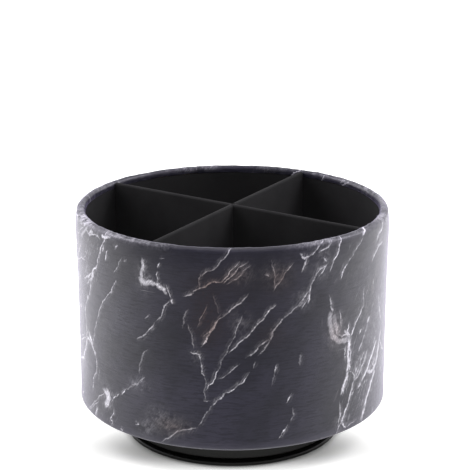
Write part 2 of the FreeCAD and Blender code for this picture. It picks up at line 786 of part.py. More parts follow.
def export(pieces):
    os.makedirs("parts", exist_ok=True)
    for piece in pieces:
        piece.Shape.exportStep(os.path.join("parts", piece.Label + ".step"))
        solids = piece.Shape.Solids
        print(f"{piece.Label}: {len(solids)} solid(s), {sum(s.Volume for s in solids):.1f} mm3")


PIECES = make_all()
doc.recompute()
check(PIECES)
export(PIECES)
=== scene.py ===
# %% [markdown]
# # A marbled desk organizer on a turntable
# The organizer is a drum covered in marbled faux leather, lined in black and split in four by crossed
# dividers. It stands on a low black turntable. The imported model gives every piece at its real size, and
# this notebook gives the pieces their finish and makes the leather itself, which no plain solid can show.

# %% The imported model
import json
import math

import bpy
import numpy as np
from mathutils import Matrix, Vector


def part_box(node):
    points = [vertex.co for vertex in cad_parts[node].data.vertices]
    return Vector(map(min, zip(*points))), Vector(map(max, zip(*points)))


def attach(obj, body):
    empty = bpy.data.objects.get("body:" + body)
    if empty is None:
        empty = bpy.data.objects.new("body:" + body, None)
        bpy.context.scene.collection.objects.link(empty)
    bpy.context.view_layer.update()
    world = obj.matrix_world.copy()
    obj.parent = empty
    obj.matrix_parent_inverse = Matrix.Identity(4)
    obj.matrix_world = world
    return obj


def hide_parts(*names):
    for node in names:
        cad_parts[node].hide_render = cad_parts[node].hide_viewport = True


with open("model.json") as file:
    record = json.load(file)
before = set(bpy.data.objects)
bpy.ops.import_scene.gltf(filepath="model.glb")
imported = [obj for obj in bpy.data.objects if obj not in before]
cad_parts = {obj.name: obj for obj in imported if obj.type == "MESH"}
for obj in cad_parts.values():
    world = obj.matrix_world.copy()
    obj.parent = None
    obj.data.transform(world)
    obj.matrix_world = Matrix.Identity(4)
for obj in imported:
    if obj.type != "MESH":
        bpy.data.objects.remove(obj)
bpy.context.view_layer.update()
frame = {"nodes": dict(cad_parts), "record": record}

MM = 0.001  # in metres: the leather is worked out in millimetres

# %% [markdown]
# ## The camera
# The organizer is seen a little from above with a long lens, so the drum's sides stay almost upright.
# The camera is given by its turn round the organizer, how far and how high it stands, and its tilt.

# %% Camera
FRONT = 34.1  # degrees from -Y round to the side that faces the camera
CAMERA_AWAY = 0.873  # metres from the drum's axis
CAMERA_HEIGHT = 0.377  # metres above the desk
CAMERA_TILT = 16.91  # degrees below level
CAMERA_PAN = 0.093  # degrees beside the axis
LENS, SENSOR = 127.1, 36.0  # mm


def around(azimuth, away, height):
    """The point at a turn of azimuth degrees from the front, away metres from the axis and this high."""
    turn = math.radians(FRONT + azimuth)
    return (away * math.sin(turn), -away * math.cos(turn), height)


def add_object(name, data):
    """A new object in the scene that shows this mesh, lamp or camera."""
    made = bpy.data.objects.new(name, data)
    bpy.context.scene.collection.objects.link(made)
    return made


camera_data = bpy.data.cameras.new("camera")
camera = add_object("camera", camera_data)
camera.location = around(0.0, CAMERA_AWAY, CAMERA_HEIGHT)
camera.rotation_euler = (math.radians(90.0 - CAMERA_TILT), 0.0, math.radians(FRONT - CAMERA_PAN))
camera_data.lens = LENS
camera_data.sensor_width = SENSOR
camera_data.clip_end = 20.0
bpy.context.scene.camera = camera
print("camera at", [round(v, 3) for v in camera.location])

# %% [markdown]
# ## Shader maths as Python
# A shader is a graph of nodes, and long graphs are hard to read. A small class wraps a socket, so that
# ordinary expressions such as `1 - mask * 0.5` add the Math nodes. Every other node comes from one
# method, which sets the node's own settings first and then its sockets.

# %% A class for sockets


class Wire:
    """A socket of a node tree. Arithmetic on it adds Math nodes to the tree."""

    def __init__(self, tree, socket=None):
        self.tree = tree
        self.socket = socket

    def node(self, kind, inputs=None, output=0, **settings):
        """Adds a node: its settings are set first, then each input is linked or given its value."""
        made = self.tree.nodes.new(kind)
        for name, value in settings.items():
            setattr(made, name, value)
        for name, value in (inputs or {}).items():
            if isinstance(value, Wire):
                self.tree.links.new(value.socket, made.inputs[name])
            else:
                made.inputs[name].default_value = value
        return Wire(self.tree, made.outputs[output])

    def maths(self, operation, *operands):
        """A Math node on these operands."""
        return self.node("ShaderNodeMath", dict(enumerate(operands)), operation=operation)

    def __add__(self, other):
        return self.maths("ADD", self, other)

    def __sub__(self, other):
        return self.maths("SUBTRACT", self, other)

    def __rsub__(self, other):
        return self.maths("SUBTRACT", other, self)

    def __mul__(self, other):
        return self.maths("MULTIPLY", self, other)

    def __abs__(self):
        return self.maths("ABSOLUTE", self)

    __radd__ = __add__
    __rmul__ = __mul__

    def larger(self, other):
        """The greater of the two."""
        return self.maths("MAXIMUM", self, other)

    def length(self):
        """The length of a vector: the root of the sum of its squares."""
        return self.node("ShaderNodeVectorMath", {0: self}, output="Value", operation="LENGTH")

    def step(self, low, high):
        """0 below low, 1 above high and a smooth rise between them. With low above high it falls."""
        inputs = {"Value": self, "From Min": low, "From Max": high, "To Min": 0.0, "To Max": 1.0}
        return self.node("ShaderNodeMapRange", inputs, interpolation_type="SMOOTHSTEP")

    def noise(self, where, scale, detail=3.0, roughness=0.5, distortion=0.0):
        """Noise from 0 to 1, in cycles per unit of the coordinate."""
        inputs = {"Vector": where, "Scale": scale, "Detail": detail, "Roughness": roughness,
                  "Distortion": distortion}
        return self.node("ShaderNodeTexNoise", inputs)

    def mapped(self, where, scale=(1.0, 1.0, 1.0), turn=0.0, shift=(0.0, 0.0, 0.0)):
        """The coordinate turned by degrees about its third axis, then scaled and shifted."""
        about = (0.0, 0.0, math.radians(turn))
        turned = self.node("ShaderNodeMapping", {"Vector": where, "Rotation": about})
        return self.node("ShaderNodeMapping", {"Vector": turned, "Scale": scale, "Location": shift})

    def blend(self, first, second, share):
        """A colour from first to second as share goes from 0 to 1. Sockets 6 and 7 take the colours."""
        return self.node("ShaderNodeMix", {0: share, 6: first, 7: second}, output=2, data_type="RGBA",
                         clamp_factor=True)

    def attribute(self, name):
        """The three numbers that the mesh keeps under this name."""
        vector = self.node("ShaderNodeAttribute", output=1, attribute_name=name)
        return [self.node("ShaderNodeSeparateXYZ", {0: vector}, output=axis) for axis in range(3)]

    def place(self):
        """Object coordinates, in metres."""
        return self.node("ShaderNodeTexCoord", output=3)

    def bump(self, height, depth, strength=1.0):
        """A normal tilted by a height from 0 to 1 that stands for depth metres."""
        return self.node("ShaderNodeBump", {"Height": height, "Distance": depth, "Strength": strength})


def colour(red, green, blue):
    """A colour with its alpha, as a shader's colour socket takes it."""
    return (red, green, blue, 1.0)


def new_material(name, make, **fixed):
    """A material whose shader has fixed socket values, and the varying ones that make(wire) returns."""
    material = bpy.data.materials.new(name)
    material.use_nodes = True
    tree = material.node_tree
    shader = tree.nodes["Principled BSDF"]
    for socket, value in fixed.items():
        shader.inputs[socket.replace("_", " ")].default_value = value
    for socket, value in make(Wire(tree)).items():
        if isinstance(value, Wire):
            tree.links.new(value.socket, shader.inputs[socket])
        else:
            shader.inputs[socket].default_value = value
    print("material", name, "with", len(tree.nodes), "nodes")
    return material


# %% [markdown]
# ## Black lining
# The inside is lined with matte black flock paper. It scatters light in every direction and has a
# short nap, so it gets a high roughness, a little sheen and a fine fibre bump.

# %% Material: black lining


def lining(w):
    """Two near blacks in slow patches, with paler fibre tips where the fine noise is high."""
    place = w.place()
    fibre = w.noise(place, 2600.0, detail=3.0, roughness=0.6)
    patch = w.noise(place, 28.0, detail=4.0, roughness=0.55)
    shade = w.blend(colour(0.0075, 0.0075, 0.0074), colour(0.0150, 0.0150, 0.0144), patch.step(0.3, 0.75))
    shade = w.blend(shade, colour(0.045, 0.045, 0.043), fibre.step(0.58, 0.80) * 0.5)
    return {"Base Color": shade, "Roughness": 0.72 + fibre * 0.2, "Normal": w.bump(fibre, 0.00012)}


black_lining = new_material("black_lining", lining, Sheen_Weight=0.02, Sheen_Roughness=0.5,
                            Specular_IOR_Level=0.15)


# %% [markdown]
# ## Black moulded plastic
# The turntable's plates are injection moulded. The outside is satin, with the very fine texture that
# the mould's steel leaves, and slight flow marks change the gloss from place to place.

# %% Material: black plastic


def moulded(w):
    """Near black whose gloss follows level flow marks and the mould's fine texture."""
    place = w.place()
    texture = w.noise(place, 1800.0, detail=2.0)
    flow = w.noise(w.mapped(place, scale=(1.0, 1.0, 6.0)), 30.0, detail=3.0, distortion=0.4)
    return {
        "Base Color": w.blend(colour(0.0080, 0.0080, 0.0075), colour(0.0135, 0.0133, 0.0125), flow),
        "Roughness": 0.27 + flow * 0.12 + texture * 0.05,
        "Normal": w.bump(texture, 0.00003),
    }


black_plastic = new_material("black_plastic", moulded, Specular_IOR_Level=0.18)

# %% [markdown]
# ## The hidden materials
# Fibreboard, steel, nylon and rubber show only from below or when the organizer is taken apart. Each
# still gets what its surface has: pressed fibres, drawing lines, a milky skin, a matte bloom.

# %% Materials: fibreboard, steel, nylon, rubber


def pressed_fibres(w):
    """Brown between a dark and a pale fibre, where noise is squeezed into level layers."""
    place = w.place()
    fibres = w.noise(w.mapped(place, scale=(1.0, 1.0, 4.0)), 700.0, detail=5.0, roughness=0.7)
    return {
        "Base Color": w.blend(colour(0.22, 0.13, 0.065), colour(0.42, 0.29, 0.17), fibres.step(0.3, 0.7)),
        "Roughness": 0.75 + fibres * 0.2,
        "Normal": w.bump(fibres, 0.00015),
    }


def plated_steel(w):
    """Grey metal with fine level lines that change its shade, gloss and height together."""
    place = w.place()
    lines = w.noise(w.mapped(place, scale=(1.0, 1.0, 12.0)), 500.0, detail=3.0)
    return {"Roughness": 0.28 + lines * 0.2, "Normal": w.bump(lines, 0.00002),
            "Base Color": w.blend(colour(0.50, 0.50, 0.49), colour(0.66, 0.66, 0.64), lines)}


def polished_steel(w):
    """Bright metal whose roughness is 0.06 plus 0.08 of a fine haze."""
    haze = w.noise(w.place(), 900.0, detail=2.0)
    return {"Roughness": 0.06 + haze * 0.08, "Base Color": colour(0.68, 0.68, 0.69)}


def nylon_skin(w):
    """Milky white that yellows a little in slow clouds, duller where it is whiter."""
    cloud = w.noise(w.place(), 160.0, detail=3.0)
    return {"Base Color": w.blend(colour(0.68, 0.66, 0.60), colour(0.78, 0.77, 0.72), cloud),
            "Roughness": 0.35 + cloud * 0.15}


def rubber_skin(w):
    """Black with a pale matte bloom, which is rougher and slightly raised."""
    bloom = w.noise(w.place(), 900.0, detail=4.0, roughness=0.65)
    return {"Base Color": w.blend(colour(0.012, 0.012, 0.012), colour(0.035, 0.034, 0.033), bloom),
            "Roughness": 0.7 + bloom * 0.2, "Normal": w.bump(bloom, 0.00005)}


fibreboard = new_material("fibreboard", pressed_fibres)
zinc_steel = new_material("zinc_steel", plated_steel, Metallic=1.0)
ball_steel = new_material("ball_steel", polished_steel, Metallic=1.0)
nylon = new_material("nylon", nylon_skin, Subsurface_Weight=0.1, Subsurface_Scale=0.001)
rubber = new_material("rubber", rubber_skin, Specular_IOR_Level=0.3)

# %% [markdown]
# ## The leather as a flat sheet
# The leather is cut as one flat strip and wrapped round the drum, so its marbling is worked out on the
# flat strip, in millimetres: along, from the middle of the front, and up, from the desk. Where the
# strip's ends meet at the back, the pattern stops and starts again, as it does on a real wrap.
#
# A vein can be much thinner than the mesh's squares. So the mesh doesn't keep how white each point is.
# It keeps how far the point lies from the nearest vein, which changes evenly across a square, and the
# shader turns that distance into a thin sharp line.

# %% Sizes of the wrap, in mm
low, high = (np.array(corner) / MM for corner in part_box("outer_cover"))
OUTER_R = (high[0] - low[0]) / 2
BOTTOM_Z, RIM_Z = low[2], high[2]
THICK = 0.8  # of the leather
BOARD_WALL = 3.0  # of the fibreboard tube under it
ROLL = BOARD_WALL / 2 + THICK  # radius of the leather over the rim
EDGE_ROUND = 1.6  # radius of the bottom edge
TURN_IN = 3.8  # down inside, from the top of the rim
TURN_UNDER = 12.0  # inwards under the board
LAP = 11.0  # overlap of the strip's ends
LAP_RISE = 0.35  # what the upper end stands proud
SEAM_ANGLE = 135.0 + math.degrees(LAP / 2 / OUTER_R)  # degrees from +X, at the back
print(f"drum radius {OUTER_R:.2f} mm, from {BOTTOM_Z:.1f} to {RIM_Z:.1f} mm")

# %% [markdown]
# ## Veins of the front
# Marble veins run mostly one way, here from the lower left to the upper right, and break, fork and
# fray as they go. The front is laid out one vein to a row: its half width, its brightness and the few
# points along,up that it passes through, in mm. Most rows are from a first plan, drawn about 3 mm too
# low and 1 to 2 % too short, so it is lifted and stretched. Rows with a + came later and fit.

# %% From the first plan to the wall
PLAN_STRETCH = 0.0074  # everywhere
PLAN_STRETCH_UP = 0.00014  # more for each mm up
PLAN_LIFT = 3.0  # mm everywhere
PLAN_LIFT_ALONG = 0.000044  # more by the square of the place along
PLAN_LIFT_UP = 0.000053  # and by the square of the height


def on_wall(along, up):
    """A point of the first plan at its place on the wall, in mm:
    along * (1 + 0.0074 + 0.00014 up) and up + 3 + 0.000044 along^2 + 0.000053 up^2.
    """
    return (along * (1 + PLAN_STRETCH + PLAN_STRETCH_UP * up),
            up + PLAN_LIFT + PLAN_LIFT_ALONG * along ** 2 + PLAN_LIFT_UP * up ** 2)


def read_veins(rows):
    """A vein for each row: half width, brightness and points. Rows without a + go through on_wall."""
    veins = []
    for row in rows.strip().splitlines():
        half_width, brightness, *places = row.lstrip("+ ").split()
        points = [tuple(map(float, place.split(","))) for place in places]
        if not row.startswith("+"):
            points = [on_wall(*point) for point in points]
        veins.append((float(half_width), float(brightness), points))
    return veins


def planned_spots(spots):
    """The first plan's spots with their middles on the wall."""
    return [(*on_wall(along, up), *rest) for along, up, *rest in spots]


print("the plan's (100, 120) comes to", on_wall(100, 120))

# %% Veins of the front
FRONT_VEINS = read_veins("""
0.5 0.85 -73,128 -73,123 -76,117 -79.5,110 -81,105.5
0.6 0.95 -80,108 -82,104.5 -86,101.5 -89,96 -90.5,89
0.45 0.7 -90,91 -93,84.5 -98,80 -100,74 -98.5,68 -99,62
0.7 0.8 -87,100.5 -92,96.5 -99,93.5
+ 1.7 0.85 -96,68.5 -94,65 -91,62.5
+ 1.2 0.8 -89.8,60 -88,57
+ 1.3 0.6 -98,85 -96.5,87.5 -94,89
+ 0.9 0.75 -66.3,122.5 -64.5,125
+ 0.8 0.45 -60.5,117.5 -57.5,119
+ 0.7 0.6 -66.3,106 -67,104
+ 1.6 0.6 -100,126 -97,129 -93,131
+ 1.3 0.7 -92,124.5 -89,126.5 -86,126
+ 1.2 0.5 -108,127 -104,129 -100,132.5
+ 0.9 0.8 -66,22.5 -63.5,22
+ 0.8 0.8 -88,29 -89.5,24 -90.5,21
0.45 0.75 -88.5,97 -92,93.5 -96,91.5
0.45 0.9 -70.5,117 -72.5,113 -73,110
0.4 0.35 -60,115 -63,110 -67,105
+ 1.3 1.0 -79,127.5 -75,126.5 -70,128
+ 1.2 0.9 -86.5,105 -89,101 -90.5,98
+ 0.8 0.85 -75.5,123 -77,118.5
+ 0.7 0.6 -96,126 -90,124 -84,126.5 -79,124.5
+ 1.2 0.45 -104,120 -98,124 -93,129
0.45 0.5 -64.5,102 -67.5,97.5 -70,94 -75,89
0.38 0.75 -74,90 -79.5,84 -81,80 -84,75
0.32 0.5 -83.5,76 -86,70 -89,62 -90,58
0.9 0.85 -99,61 -95.5,60.5 -91,59 -88.5,56 -86.5,53
0.5 0.7 -87,54 -85.5,49 -86,46 -89.5,41 -91,37 -92,32
0.35 0.4 -82,49 -84,44 -85,40
1.0 0.85 -97,61 -101,54 -104,49.5 -108,45 -115,43 -124,38
0.45 0.5 -95,66 -100,60 -106,57 -113,54
0.35 0.4 -102,61 -109,58 -117,50
+ 2.6 0.95 -77,43 -75.5,38.5 -76.5,34 -79.5,31
+ 1.8 0.9 -79.5,42 -77,39 -73.5,36.5
0.8 0.9 -73,37 -75,31.5 -77.5,27
0.6 0.75 -80,38.5 -77,35 -74,30
0.42 0.9 -73,32 -69,36 -65,39.8
0.45 1.0 -64,39 -62,41.5 -60,43.8
0.8 0.35 -61,43 -57,45 -54,47.5 -50,50 -47,53.5
0.4 0.5 -78,36 -84,31.5 -89,27 -94,23 -100,18
0.35 0.4 -84,29 -91,24 -96,20 -100,14
0.6 0.85 -85.5,25.5 -88,21.5 -89,17
0.32 0.85 -70,30 -70.5,27 -72.5,24 -74,21
0.35 0.85 -74.5,21 -73,22.5 -71.5,21.5 -72,19.8 -74,20
0.6 0.9 -65.5,19.8 -63.5,19
0.65 1.0 -53.5,25 -51.8,25.8
+ 1.3 0.75 -48,122 -47.5,117 -48.5,112 -49,106.5
+ 2.1 0.8 -50,109 -47,108.2 -43,109 -39.5,109
+ 1.5 0.95 -42,109.5 -39,108.5 -36,106.5 -34,104
+ 2.6 0.8 -49.5,111.5 -48.5,109 -46.5,107.5
0.8 0.85 -39,107 -37,105 -35,103
0.42 1.0 -36.8,117 -38,114
0.45 0.85 -38,112.5 -38.5,109.5 -38,106
0.35 0.35 -37,119 -34,119.5
0.45 0.85 -33.6,106 -33,103 -31.5,101 -31,98.5
0.65 0.9 -30.2,99 -30.4,95.5
0.45 0.55 -31.5,98 -34.5,94 -35.5,91.5 -37.5,87 -40,85
0.42 1.0 -40.3,84.5 -42.5,81.5 -44.6,78.8
0.55 0.42 -44,79.5 -48,75.5 -52,73
0.45 0.4 -43,88.5 -46.5,85.5
0.55 0.3 -45,69 -48.5,65 -50,60 -51,54
0.6 0.8 -24.5,100.3 -21,101.8 -19,103.5
0.45 0.7 -20,103 -16,105.5 -13,107 -10,109 -5,109.3
0.28 0.75 -6,108.5 -2,113.5 0,116 3.5,120
0.3 0.7 -4.5,108.5 0,113 4,117.5 7.5,119.5
0.28 0.45 -3,108 2,111 6,115.5 9,118
0.32 0.6 -16,111.5 -13,114 -9,116 -6.5,118.5 -3,123 0,128
0.38 0.5 -15.3,113.5 -16.3,110 -16,105
0.28 0.42 -12.5,97 -15,91 -18,84
0.28 0.25 -9.5,103 -8,97 -6.5,92
0.45 0.28 -22,94 -24.5,89.5 -25.3,83
0.5 0.38 -22.3,86 -21.5,82 -20,79 -19.5,73
0.55 0.95 -15.5,74.5 -12.5,79.5 -10,84 -7,89.5
0.35 0.8 -15,79.5 -12,82 -9,86.5
0.42 0.65 -8,88 -5,91 -1,94 1.5,97 5,99 7.5,102.5
0.55 0.65 -21.5,71.5 -20,70.3 -17.5,70.8 -16.3,67.5 -15.5,65.5
0.5 0.65 -16,67 -15.5,61 -13.8,58
0.35 0.3 -14,59 -13.5,54 -14.2,50 -13.8,45
0.42 0.5 -14.8,45 -11.5,45.3
0.38 0.8 -13.5,51 -10,55.5 -8.5,59 -6.5,63.5
0.34 0.42 -7,62 -5.5,67 -3.5,71 -1,76 1.5,82 3,87 5,92
0.45 0.8 -10.5,42.5 -8,45 -5,47.5 -4,50
0.34 0.9 -5,49 0,51.5 5,55.5 8.5,61
0.34 0.45 -10,43.5 -12.5,40 -15,35 -17.5,31
0.45 0.4 -18,30 -22,28.5 -26,28 -30,25.5 -34,22 -38,19
0.38 0.55 -3,60 0,62.5 3.5,65.5
0.34 0.35 -8,57 -5,58.5 -1,61
0.38 0.65 -2,71.5 2,75.5 5,78.5 10,83
0.38 0.85 8.5,82 14,88 18,93 22,96.8
0.45 0.4 11.5,67 10.5,63
0.5 0.5 7,69 10,71 13,74 16,77 19,78.5
0.55 0.65 18.5,76.5 20.5,82 23,86 26,89
0.5 0.35 13,70 17,74 20,80
0.45 0.6 25,88.5 29,91 33,94 37,98.5
0.55 1.0 38.8,94.5 40,100 40.3,105
0.4 0.8 33.5,93 36,97 39.5,102
0.35 0.75 35.5,92.5 37.5,96 40,99
0.5 0.7 40,103 42,108 45.5,112 50,114
0.4 0.6 44,107.5 47,110 49,114
0.38 0.55 20.5,104 23,108 26,112 28,115 30.5,117.5
0.38 0.35 19,120 20.5,114 21,106
0.4 0.45 16,112.5 18.5,111.5
0.9 1.0 34,121.8 36.5,119 39.5,119.8
0.7 0.75 38.5,119.5 36.5,117 35,112
0.4 0.55 38,119 42,121.5 46,124.5 50,129
0.6 0.6 47,118 49.5,115
0.45 0.6 44,120.5 50,122.5 54,126
0.48 0.9 22.6,64.5 21.3,59.5
0.3 0.35 21.3,60 20,53
0.9 0.28 35.8,69 35,62
0.38 0.85 30.8,47.5 29.5,45 28,42.5
0.5 0.3 31.5,39 31.8,35 30,31
0.34 1.0 28.8,30.5 26.5,26.5 23.8,22.7
0.42 0.95 51.3,109.5 53.5,114 56.5,119 58.5,123 60,128
0.48 0.95 58.8,103.5 60,107 62,110 64,112
0.38 0.55 63,111 65,113 67.5,115.5 72,119 76,122
0.9 0.9 75.5,122.5 78,125 82,129
0.7 0.5 51.5,97 53,92 54,88 53,84
+ 2.2 0.48 53.5,91.5 54,82.5 56,77 60,73.5
+ 2.1 0.48 57,76 61,73 65,73 68.5,74
0.45 0.65 58.5,87.5 60,83 60.5,77
0.55 0.8 57,81 58,74 61,72 65,73 67,70
0.55 0.85 66.3,79 65.5,74.5 67.5,69.5
1.3 0.95 66.8,71 66.5,65 66.3,59 66.8,55 65.5,50.5
0.5 0.85 68,70.5 67.8,65 68,59 68,55 67,50.5
1.3 0.95 66.5,52 64.8,46.5 62.8,43 61.5,39.5
0.5 0.8 67.3,51 66,46.5 64,42.5 63,38.5
0.55 0.5 64.5,67 63.5,61 64.2,57
0.6 0.8 67.5,69.5 70,74 73,78 76,81.5 79.3,84.8
0.45 0.42 79,84 78,89 78.6,95
0.7 0.95 75.3,69.8 77.3,71.8
1.4 0.7 85.3,77 83.5,73
0.75 0.6 84,74 81.5,69 78,64 75,59.5
0.55 0.6 66.5,51 69,50.5 71.5,49 72.5,45.5
0.7 0.6 74.3,52.5 72.8,48 71,43
0.85 0.95 72,45.5 69.5,40 68.8,36.5 67.3,33
0.9 1.0 68,34.5 65.5,29.5 63.3,26 62,22.5
0.4 0.55 62.3,31 61,27 60,23
0.6 0.9 62,25 64,22 66.5,19.5
0.45 0.6 62.5,24.5 60,21 58.5,17
0.4 0.45 66,20 72,20.8 76,22
0.45 0.35 80,57 77,52 74,47
1.0 1.0 74.8,39 77.5,40.8 79,42.3
1.1 0.95 78,41.5 83,45 87,49.5 91,54.5 97,60
1.5 0.75 84,45.5 89,44 94,44.5 97,48 99,52 101,57
0.5 0.6 90,50 92.5,46 96,44.5
1.0 0.8 80,18 81.5,23 83,27
1.3 0.95 82,25.5 85,30 89,36 92,39.5 95,44
1.0 0.5 85.5,106 88,109.5 90,111 94,113 100,113.7
0.9 0.6 89.5,115.5 92,119 97,120 102,124
0.6 0.35 89,96 88,90
+ 2.2 0.34 56.5,90 57,84.5 58.5,79.5 61.5,77.5
+ 1.2 0.8 63.5,79 66,77 67.5,73.5
+ 0.9 0.55 73,47.5 78,51 82,56 86.5,61.5
+ 0.8 0.5 73.5,50 74.5,54 73,58
+ 1.1 0.7 79,22 82,25.5 86,31
+ 0.7 0.6 70,40 73,42.5
+ 0.9 0.55 61.5,39 62.5,33 61,28
+ 1.6 0.5 100,54 101.5,60 106,67
0.8 0.4 97,84 99,76 103,68
0.6 0.5 102,58 106,52 112,48
0.6 0.6 -120,122 -108,125 -97,129
0.6 0.55 -104,122 -96,124 -90,129
0.45 0.45 -112,115 -106,116 -101,120 -97,122
""")
HAND_LAID = 116.0  # mm each side of the front that these veins cover
print(len(FRONT_VEINS), "veins placed by hand")

# %% [markdown]
# ## Veins of the sides and the back
# The rest of the strip is grown with a seeded random walk: a vein starts somewhere, keeps to the
# marble's grain while its heading drifts, and now and then throws off a branch or a frayed patch.

# %% Veins grown at random
rng = np.random.default_rng(31)
GRAIN = 57.0  # degrees, the way that most veins run
STRIP_START = -OUTER_R * math.radians(360.0 - SEAM_ANGLE - 90.0 + FRONT)
STRIP_END = STRIP_START + 2 * math.pi * OUTER_R
BARE = (STRIP_END - HAND_LAID) + (-HAND_LAID - STRIP_START)
STRIP_LOW, STRIP_TOP = 8.0, 138.0  # mm up the strip: from under the board to inside the rim
STEP = 4.0  # mm
BRANCH_CHANCE, PATCH_CHANCE = 0.15, 0.05  # at each step
MAIN_VEINS = 58


def walk(start, heading, length, drift):
    """Points of a path from start: even steps whose heading, in degrees, drifts at random."""
    steps = max(int(length / STEP), 1)
    turns = heading + np.cumsum(rng.normal(0.0, drift, steps))
    along = np.cumsum(STEP * np.cos(np.radians(turns)))
    up = np.cumsum(STEP * np.sin(np.radians(turns)))
    return [tuple(start)] + [(start[0] + a, start[1] + u) for a, u in zip(along, up)]


def grow_vein(start):
    """One main vein with its branches, as (half width, brightness, points) entries."""
    bright = rng.uniform(0.45, 1.0)
    main = walk(start, GRAIN + rng.normal(0.0, 9.0), rng.uniform(14.0, 60.0), 11.0)
    grown = [(rng.uniform(0.3, 0.6), bright, main)]
    for point in main[1:-1]:
        chance = rng.random()
        if chance < BRANCH_CHANCE:
            branch = walk(point, GRAIN + rng.choice([-34.0, 28.0]), rng.uniform(6.0, 20.0), 10.0)
            grown.append((rng.uniform(0.28, 0.45), bright * rng.uniform(0.4, 0.9), branch))
        elif chance < BRANCH_CHANCE + PATCH_CHANCE:
            for _ in range(3):
                nearby = (point[0] + rng.normal(0.0, 1.6), point[1] + rng.normal(0.0, 1.6))
                patch = walk(nearby, GRAIN + 35.0 + rng.normal(0.0, 14.0), rng.uniform(5.0, 11.0), 16.0)
                grown.append((rng.uniform(0.5, 1.2), bright * rng.uniform(0.6, 1.0), patch))
    return grown


def bare_places(count):
    """Random places along the strip that skip the front, which is laid out one by one."""
    for passed in rng.uniform(0.0, BARE, count):
        along = STRIP_START + passed
        yield along + 2 * HAND_LAID if along > -HAND_LAID else along


grown_veins = []
for along in bare_places(MAIN_VEINS):
    grown_veins += grow_vein((along, rng.uniform(STRIP_LOW, STRIP_TOP - 20.0)))
print(len(grown_veins), "veins grown along", round(BARE), "mm of the strip")

# %% [markdown]
# ## From points to distances
# Each vein becomes a fine row of samples with a little fractal wobble. For a point of the sheet, the
# nearest sample gives the signed distance (which side of the vein it is on), the vein's half width and
# its brightness. A signed distance jumps where the nearest vein changes, so veins that come close to
# each other are kept in different layers.

# %% Samples along a vein, in mm
SPACING = 0.6
REACH = 2.6  # how far from a vein its distance is kept
WAVES = np.array([9.0, 4.3, 2.1, 1.1])
WOBBLE = 0.28
TAPER = 3.0  # length of a vein's thinning end
FAR = 1e9


def wobble(length_along):
    """A sum of sines with random phases, each finer one half as strong, in mm."""
    phases = rng.uniform(0.0, 2 * math.pi, len(WAVES))
    height = np.sin(2 * math.pi * length_along[:, None] / WAVES + phases) * 0.5 ** np.arange(len(WAVES))
    return WOBBLE * height.sum(axis=1)


def sample_vein(half_width, bright, points):
    """Places, normals, half widths and brightnesses every 0.6 mm; both ends fade and taper to nothing."""
    points = np.array(points, float)
    runs = np.linalg.norm(np.diff(points, axis=0), axis=1)
    at = np.concatenate([[0.0], np.cumsum(runs)])
    along = np.linspace(0.0, at[-1], max(int(at[-1] / SPACING), 4) + 1)
    line = np.stack([np.interp(along, at, points[:, axis]) for axis in range(2)], axis=1)
    if len(along) > 8:
        line[1:-1] = (line[:-2] + 2 * line[1:-1] + line[2:]) / 4
    tangent = np.gradient(line, axis=0)
    tangent /= np.linalg.norm(tangent, axis=1, keepdims=True)
    normal = np.stack([-tangent[:, 1], tangent[:, 0]], axis=1)
    ends = np.minimum(along, at[-1] - along) / min(TAPER, at[-1] * 0.35)
    taper = np.clip(ends, 0.0, 1.0) ** 0.6
    line = line + normal * (wobble(along) * np.clip(ends, 0.0, 1.0))[:, None]
    return line, normal, half_width * (0.4 + 0.6 * taper), bright * taper


veins = [sample_vein(*vein) for vein in FRONT_VEINS + grown_veins]
print("samples:", sum(len(vein[0]) for vein in veins))

# %% Sharing the veins out among layers
LAYERS = 6
CLEARANCE = 6.5  # mm between two veins of one layer
LONGEST_HALF = 45.0  # mm from a long vein's middle to its end


def gap_between(first, second):
    """The shortest distance between two rows of samples."""
    return np.sqrt(((first[:, None, :] - second[None, :, :]) ** 2).sum(axis=2).min())


layers = [[] for _ in range(LAYERS)]
for vein in veins:
    centre = vein[0].mean(axis=0)
    reach = np.abs(vein[0] - centre).max()
    gaps = []
    for layer in layers:
        near = [other for other in layer
                if np.abs(other[0].mean(axis=0) - centre).max() < reach + CLEARANCE + LONGEST_HALF]
        gaps.append(min((gap_between(vein[0], other[0]) for other in near), default=FAR))
    fits = [index for index, gap in enumerate(gaps) if gap > CLEARANCE]
    layers[fits[0] if fits else int(np.argmax(gaps))].append(vein)
print("veins in each layer:", [len(layer) for layer in layers])

# %% [markdown]
# ## The shape of the wrap
# The wrap's section is a closed loop: under the board, round the bottom edge, up the wall, over the
# rim, down inside to the cut edge, and back along the hidden side. It is carried once round the axis.

# %% Section of the wrap


def line_between(start, end, count):
    """Evenly spaced points from start to just before end."""
    share = np.arange(count)[:, None] / count
    return np.array(start) * (1 - share) + np.array(end) * share


def arc_about(centre, radius, start, end, count):
    """Points on a circle about a centre, from one angle in degrees to just before another."""
    turn = np.radians(start + (end - start) * np.arange(count) / count)
    return np.stack([centre[0] + radius * np.cos(turn), centre[1] + radius * np.sin(turn)], axis=1)


